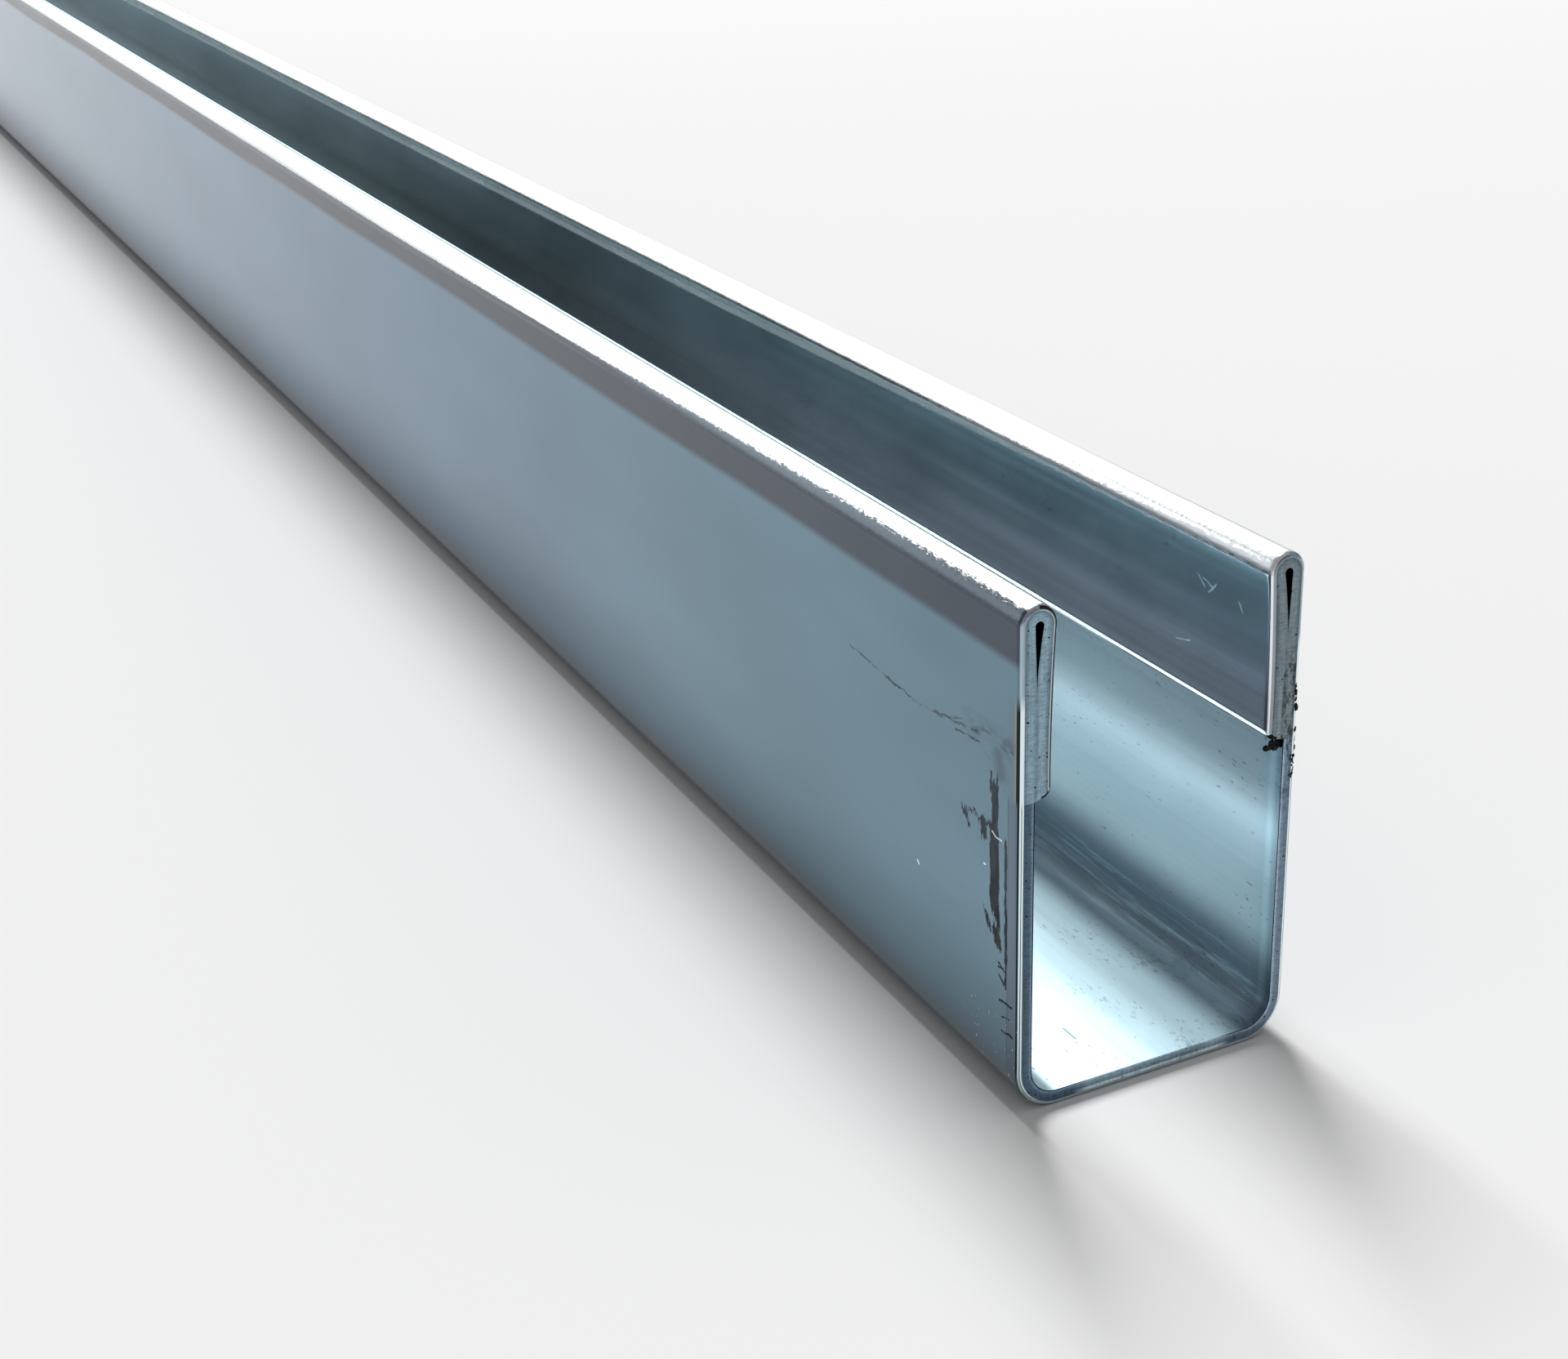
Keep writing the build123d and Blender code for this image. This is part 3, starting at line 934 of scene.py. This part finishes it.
def sheared_stainless(size):
    """The cut faces, torn through by the shear.

    The eye gets a dull grey grain with drag lines across the sheet, darker beside the skin,
    a few pits, and a dark burr line along the satin edge.
    """
    material, tree, place = new_material("sheared_stainless")
    corner = size.bend_radius + size.sheet
    fold = size.eye_width / 2 + size.fold_sheet
    _, y, z = add(tree, "ShaderNodeSeparateXYZ", {0: place}).outputs
    spread = add(tree, "ShaderNodeMath", {0: y}, operation="ABSOLUTE")

    # Depth under the skin of the web, the bends and the flanges
    across = add(tree, "ShaderNodeMath", {0: spread, 1: HIGH.y - corner}, operation="SUBTRACT",
                 use_clamp=True)
    down = add(tree, "ShaderNodeMath", {0: corner, 1: z}, operation="SUBTRACT", use_clamp=True)
    spoke = add(tree, "ShaderNodeCombineXYZ", {0: across, 1: down})
    reach = add(tree, "ShaderNodeVectorMath", {0: spoke}, operation="LENGTH").outputs["Value"]
    deep = add(tree, "ShaderNodeMath", {0: corner, 1: reach}, operation="SUBTRACT")

    # Depth under the skin of the hem, whose leg stands closer in below its fold
    aside = add(tree, "ShaderNodeMath", {0: spread, 1: HIGH.y - fold}, operation="SUBTRACT")
    above = add(tree, "ShaderNodeMath", {0: z, 1: HIGH.z - fold}, operation="SUBTRACT",
                use_clamp=True)
    spoke = add(tree, "ShaderNodeCombineXYZ", {0: aside, 1: above})
    reach = add(tree, "ShaderNodeVectorMath", {0: spoke}, operation="LENGTH").outputs["Value"]
    leg_side = add(tree, "ShaderNodeMath", {0: aside, 1: 0}, operation="LESS_THAN")
    closer = add(tree, "ShaderNodeMapRange",
                 {"Value": z, "From Min": HIGH.z - fold, "From Max": HIGH.z - size.eye_depth,
                  "To Max": LEG_CLOSER}, interpolation_type="SMOOTHSTEP")
    reach = add(tree, "ShaderNodeMath", {0: closer, 1: leg_side, 2: reach},
                operation="MULTIPLY_ADD")
    hem_deep = add(tree, "ShaderNodeMath", {0: fold, 1: reach}, operation="SUBTRACT")

    # The cut faces carry painted light and shade by part: the web's cut is paler than the
    # flanges', and the far flange's is paler still; the far flange's is also warmer
    low_cut, web_cut, hem_cut = (
        lay_bands(tree, "#62707d", under, bands)
        for under, bands in ((deep, LOW_CUT), (deep, WEB_CUT), (hem_deep, HEM_CUT)))
    on_web = add(tree, "ShaderNodeMapRange",
                 {"Value": spread, "From Min": HIGH.y - 1.4 * corner,
                  "From Max": HIGH.y - 1.8 * corner})
    far, reach_up, reach_down = (
        add(tree, "ShaderNodeMapRange",
            {"Value": value, "From Min": first * MM, "From Max": last * MM})
        for value, first, last in (
            (y, 2.5, 4.8), (z, TOP - 4.4, TOP - 5.6), (z, TOP - 14, TOP - 10.5)))
    lift = add(tree, "ShaderNodeMath", {0: far, 1: 1.7, 2: 1.0}, operation="MULTIPLY_ADD")
    base = add(tree, "ShaderNodeMix", {"Factor": on_web, 6: low_cut, 7: web_cut},
               data_type="RGBA")
    base = add(tree, "ShaderNodeMix", {"Factor": 1.0, 6: base, 7: lift}, data_type="RGBA",
               blend_type="MULTIPLY")
    is_hem = add(tree, "ShaderNodeMath", {0: z, 1: HIGH.z - size.hem_depth},
                 operation="GREATER_THAN")
    base = add(tree, "ShaderNodeMix", {"Factor": is_hem, 6: base, 7: hem_cut},
               data_type="RGBA")
    base = add(tree, "ShaderNodeMix", {"Factor": far, 6: base, 7: "#e4d7d0"}, data_type="RGBA",
               blend_type="MULTIPLY")

    # Rough dark patches where the far flange tore beside its hem
    patch = stretched_noise(tree, place, (0.3, 0.3, 0.6), 4.0, 0.7, (0.47, 0.58, 0.0, 0.8))
    beside = add(tree, "ShaderNodeMath", {0: y, 1: TORN_MIDDLE, 2: TORN_REACH},
                 operation="COMPARE")
    patch = add(tree, "ShaderNodeMath", {0: patch, 1: beside}, {1: reach_up}, {1: reach_down},
                operation="MULTIPLY")
    base = add(tree, "ShaderNodeMix", {"Factor": patch, 6: base, 7: "#2a2c2d"},
               data_type="RGBA")

    grain = stretched_noise(tree, place, (0.1, 0.1, 0.1), 4.0, 0.7)
    drag = stretched_noise(tree, place, (0.6, 0.4, 0.07), 3.0, 0.6)
    fibre = stretched_noise(tree, place, (0.3, 0.12, 1.5), 3.0, 0.6)
    mix = add(tree, "ShaderNodeMath", {0: grain, 1: 0.4, 2: 0.0}, {0: drag, 1: 0.35},
              {0: fibre, 1: 0.25}, operation="MULTIPLY_ADD")
    tone = add(tree, "ShaderNodeMapRange",
               {"Value": mix, "From Min": 0.38, "From Max": 0.62, "To Min": 0.6, "To Max": 1.3})
    base = add(tree, "ShaderNodeMix", {"Factor": 1.0, 6: base, 7: tone}, data_type="RGBA",
               blend_type="MULTIPLY")
    pit = stretched_noise(tree, place, (0.2, 0.2, 0.2), 1.0, levels=(0.69, 0.73, 0.0, 1.0))
    base = add(tree, "ShaderNodeMix", {"Factor": pit, 6: base, 7: "#1c2227"}, data_type="RGBA")
    rough = add(tree, "ShaderNodeMapRange",
                {"Value": grain, "From Min": 0.3, "From Max": 0.7, "To Min": 0.38, "To Max": 0.6})
    relief = add(tree, "ShaderNodeBump",
                 {"Strength": 1.0, "Distance": 0.03 * MM, "Height": mix})
    surface(tree, {"Base Color": base, "Metallic": 0.9, "Roughness": rough, "Normal": relief})
    return material


def torn_stainless():
    """Torn bits of steel at the cut.

    The eye gets jagged dark crumbs, brown where the shear scorched them, with a few paler
    broken faces.
    """
    material, tree, place = new_material("torn_stainless")
    patch = stretched_noise(tree, place, (0.35, 0.35, 0.35), 3.0, 0.6)
    ramp = add(tree, "ShaderNodeValToRGB", {0: patch})
    stops = ramp.color_ramp.elements
    for spot, colour in ((0.46, "#0b0e10"), (0.58, "#2c241f"), (0.70, "#4d4742")):
        stops.new(spot).color = linear(colour)
    stops.remove(stops[0])
    stops.remove(stops[-1])
    rough = add(tree, "ShaderNodeMapRange",
                {"Value": patch, "From Min": 0.4, "From Max": 0.6, "To Min": 0.75, "To Max": 0.45})
    grain = stretched_noise(tree, place, (0.05, 0.05, 0.05), 2.0)
    relief = add(tree, "ShaderNodeBump",
                 {"Strength": 1.0, "Distance": 0.02 * MM, "Height": grain})
    surface(tree, {"Base Color": ramp, "Metallic": 0.3, "Roughness": rough,
                   "Specular IOR Level": 0.15, "Normal": relief})
    return material


# Rails that the burrs sit on, across the far hem's end and along the far flange's outer edge.
# Each end is its distance from the cut, Y and Z, and then the burrs' size there, which all
# count in millimetres
BURR_RAILS = (
    (((0.20, 5.85, 15.52), (0.20, 0.36, 0.46)), ((0.20, 6.50, 15.50), (0.20, 0.36, 0.56))),
    (((0.06, 7.28, 18.30), (0.14, 0.16, 0.30)), ((0.06, 7.34, 17.20), (0.16, 0.20, 0.36))),
    (((0.07, 7.32, 16.20), (0.14, 0.16, 0.30)), ((0.07, 7.33, 15.50), (0.16, 0.20, 0.34))),
    (((0.07, 7.33, 15.10), (0.16, 0.20, 0.34)), ((0.06, 7.30, 13.80), (0.14, 0.16, 0.30))),
)


def burr_rails():
    """The rails as loose edges, with the burrs' size kept at each end."""
    ends = [end for rail in BURR_RAILS for end in rail]
    edges = [(i, i + 1) for i in range(0, len(ends), 2)]
    places = [(HIGH.x - x * MM, y * MM, z * MM) for (x, y, z), _ in ends]
    mesh = bpy.data.meshes.new("burr_rails")
    mesh.from_pydata(places, edges, [])
    sizes = mesh.attributes.new("size", "FLOAT_VECTOR", "POINT")
    for i, (_, size) in enumerate(ends):
        sizes.data[i].vector = Vector(size) * MM
    return mesh


def burr_tree():
    """Geometry Nodes that set jagged lumps along rails."""
    tree, given = geometry_tree("burrs_on_rails", {
        "Rails": "Geometry", "Spacing": "Float", "Jaggedness": "Float", "Seed": "Int",
        "Finish": "Material"}, "Burrs")
    rails = add(tree, "GeometryNodeMeshToCurve", {"Mesh": given["Rails"]})
    points = add(tree, "GeometryNodeCurveToPoints",
                 {"Curve": rails, "Length": given["Spacing"]}, mode="LENGTH")
    size = add(tree, "GeometryNodeInputNamedAttribute", {"Name": "size"},
               data_type="FLOAT_VECTOR")
    shift, scale = (
        add(tree, "ShaderNodeVectorMath",
            {0: add(tree, "FunctionNodeRandomValue",
                    {0: (least,) * 3, 1: (most,) * 3, "Seed": given["Seed"]},
                    data_type="FLOAT_VECTOR"),
             1: size}, operation="MULTIPLY")
        for least, most in ((-0.25, 0.25), (0.5, 1.3)))
    points = add(tree, "GeometryNodeSetPosition", {"Geometry": points, "Offset": shift})
    lump = add(tree, "GeometryNodeMeshIcoSphere", {"Radius": 0.5, "Subdivisions": 3})
    lumps = add(tree, "GeometryNodeInstanceOnPoints",
                {"Points": points, "Instance": lump, "Scale": scale})
    lumps = add(tree, "GeometryNodeRealizeInstances", {"Geometry": lumps})

    # Each lump's skin is torn about by noise whose grains measure 0.08 mm
    place = add(tree, "GeometryNodeInputPosition")
    fine = add(tree, "ShaderNodeVectorMath", {0: place, "Scale": 1 / (0.08 * MM)},
               operation="SCALE")
    noise = add(tree, "ShaderNodeTexNoise", {"Vector": fine, "Scale": 1.0, "Detail": 2.0})
    push = add(tree, "ShaderNodeVectorMath", {0: noise.outputs["Color"], 1: HALVES},
               operation="SUBTRACT")
    push = add(tree, "ShaderNodeVectorMath", {0: push, "Scale": given["Jaggedness"]},
               operation="SCALE")
    lumps = add(tree, "GeometryNodeSetPosition", {"Geometry": lumps, "Offset": push})
    lumps = add(tree, "GeometryNodeSetMaterial",
                {"Geometry": lumps, "Material": given["Finish"]})
    add(tree, "NodeGroupOutput", {0: lumps})
    return tree


class CHANNEL_OT_bar(bpy.types.Operator):
    """Sweeps the folded section along the bar and gives each side its finish"""

    bl_idname = "channel.bar"
    bl_label = "Channel bar"

    def execute(self, context):
        size = context.scene.channel_sizes
        finish = context.scene.channel_finish
        bar = evaluated("channel_bar", outline_mesh(size), sweep_tree(), {
            "Length": size.length,
            "Edge Roll": size.edge_roll,
            "Drag": size.drag,
            "Hem Seam": size.hem_seam,
            "Stations": size.stations,
            "Marked Length": size.marked_length,
            "Mirror": mirror_stainless("mirror_polished_stainless", finish, False),
            "Marked Mirror": mirror_stainless("mirror_polished_stainless_by_the_cut",
                                              finish, True),
            "Satin": satin_stainless(finish.satin),
            "Sheared": sheared_stainless(size),
        })
        bar.data.set_sharp_from_angle(angle=SHARP_FROM)
        take_place(bar)
        return {"FINISHED"}


class CHANNEL_OT_burrs(bpy.types.Operator):
    """Sets the torn burrs that the shear left on the far hem and flange"""

    bl_idname = "channel.burrs"
    bl_label = "Burrs at the cut"

    def execute(self, context):
        size = context.scene.channel_sizes
        burrs = evaluated("cut_burrs", burr_rails(), burr_tree(), {
            "Spacing": size.burr_spacing,
            "Jaggedness": size.jaggedness,
            "Seed": BURR_SEED,
            "Finish": torn_stainless(),
        })
        take_place(burrs)
        return {"FINISHED"}


class CHANNEL_OT_stage(bpy.types.Operator):
    """Lays the pale floor, hangs the soft lights and places the camera"""

    bl_idname = "channel.stage"
    bl_label = "Stage"

    def execute(self, context):
        scene = context.scene
        finish = scene.channel_finish
        lay_floor(finish.floor)
        light_world()
        hang_lights()
        place_camera(scene)
        scene.view_settings.view_transform = "Standard"
        return {"FINISHED"}


def lay_floor(colour):
    """A wide pale floor under the bar."""
    reach = 6.0
    mesh = bpy.data.meshes.new("floor")
    corners = [(-reach, -reach, 0), (reach, -reach, 0), (reach, reach, 0), (-reach, reach, 0)]
    mesh.from_pydata(corners, [], [(0, 1, 2, 3)])
    floor = bpy.data.objects.new("floor", mesh)
    bpy.context.scene.collection.objects.link(floor)
    material = bpy.data.materials.new("pale_floor")
    material.use_nodes = True
    tree = material.node_tree
    tree.nodes.clear()
    paint = add(tree, "ShaderNodeBsdfDiffuse", {"Color": (*colour, 1)})
    add(tree, "ShaderNodeOutputMaterial", {"Surface": paint.outputs[0]})
    mesh.materials.append(material)


def light_world():
    """A plain, even surround that fills the shadows."""
    world = bpy.data.worlds.new("surround")
    bpy.context.scene.world = world
    world.use_nodes = True
    tree = world.node_tree
    tree.nodes.clear()
    sky = add(tree, "ShaderNodeBackground", {"Color": (1, 1, 1, 1), "Strength": 0.29})
    add(tree, "ShaderNodeOutputWorld", {"Surface": sky.outputs[0]})


def softbox(name, place, size, level):
    """A soft rectangular lamp at a place, aimed at the bar. level is its brightness as seen."""
    lamp = bpy.data.lights.new(name, "AREA")
    lamp.shape = "RECTANGLE"
    lamp.size, lamp.size_y = size
    lamp.energy = level * math.pi * size[0] * size[1]
    holder = bpy.data.objects.new(name, lamp)
    bpy.context.scene.collection.objects.link(holder)
    holder.location = place
    holder.rotation_mode = "QUATERNION"
    holder.rotation_quaternion = (Vector((HIGH.x, 0, 0)) - place).to_track_quat("-Z", "Y")
    holder.visible_camera = False
    return holder


def hang_lights():
    """A soft key high beyond the far end, and two low boxes that only the polish shows."""
    cut_end = Vector((HIGH.x, 0, 0))
    softbox("key", cut_end + 6 * Vector((-0.62, 0.1, 0.778)), (1.75, 3.2), 18.8)
    far_end = softbox("far_end", Vector((-1.1, 0.25, 0.72)), (2.1, 1.25), 1.3)
    far_end.visible_diffuse = False
    near_side = softbox("near_side", cut_end + Vector((-1.8, -1.15, 0.5)), (1.4, 1.0), 1.4)
    near_side.visible_diffuse = False


# The camera, fitted to the photograph: focal length and frame centre in its pixels, and
# its place measured from the middle of the web's underside at the near cut end
FRAME_WIDE, FRAME_HIGH = 1920, 1664
FOCAL = 2821
CENTRE = (1150, 730)
CAMERA_AT = Vector((76.95, -54.12, 60.31)) * MM
CAMERA_TURN = (60.972, 21.104, -0.238)


def place_camera(scene):
    """The camera at the photograph's viewing angle."""
    data = bpy.data.cameras.new("camera")
    camera = bpy.data.objects.new("camera", data)
    scene.collection.objects.link(camera)
    data.sensor_fit = "HORIZONTAL"
    data.sensor_width = 36
    data.lens = FOCAL * data.sensor_width / FRAME_WIDE
    data.shift_x = (FRAME_WIDE / 2 - CENTRE[0]) / FRAME_WIDE
    data.shift_y = (CENTRE[1] - FRAME_HIGH / 2) / FRAME_WIDE
    data.clip_start = 1 * MM
    data.clip_end = 50
    camera.location = Vector((HIGH.x, 0, 0)) + CAMERA_AT
    azimuth, elevation, roll = (math.radians(a) for a in CAMERA_TURN)
    back = Vector((math.sin(azimuth) * math.cos(elevation),
                   -math.cos(azimuth) * math.cos(elevation), math.sin(elevation)))
    camera.rotation_mode = "QUATERNION"
    camera.rotation_quaternion = (
        (-back).to_track_quat("-Z", "Y") @ Matrix.Rotation(roll, 3, "Z").to_quaternion())
    scene.camera = camera


class CHANNEL_PT_panel(bpy.types.Panel):
    """Lists the operators in the sidebar"""

    bl_idname = "CHANNEL_PT_panel"
    bl_label = "Hemmed channel"
    bl_space_type = "VIEW_3D"
    bl_region_type = "UI"
    bl_category = "Channel"

    def draw(self, context):
        for name in STEPS:
            self.layout.operator("channel." + name)


STEPS = ("bar", "burrs", "stage")
CLASSES = (ChannelSizes, ChannelFinish, CHANNEL_OT_bar, CHANNEL_OT_burrs, CHANNEL_OT_stage,
           CHANNEL_PT_panel)


def register():
    """Makes the classes known, and hangs the sizes and finishes on the scene."""
    for made in CLASSES:
        bpy.utils.register_class(made)
    bpy.types.Scene.channel_sizes = bpy.props.PointerProperty(type=ChannelSizes)
    bpy.types.Scene.channel_finish = bpy.props.PointerProperty(type=ChannelFinish)


def unregister():
    """Undoes register."""
    del bpy.types.Scene.channel_finish
    del bpy.types.Scene.channel_sizes
    for made in reversed(CLASSES):
        bpy.utils.unregister_class(made)


def main():
    """Builds the object and its stage."""
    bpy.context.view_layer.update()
    register()
    for name in STEPS:
        getattr(bpy.ops.channel, name)()


if __name__ == "__main__":
    main()
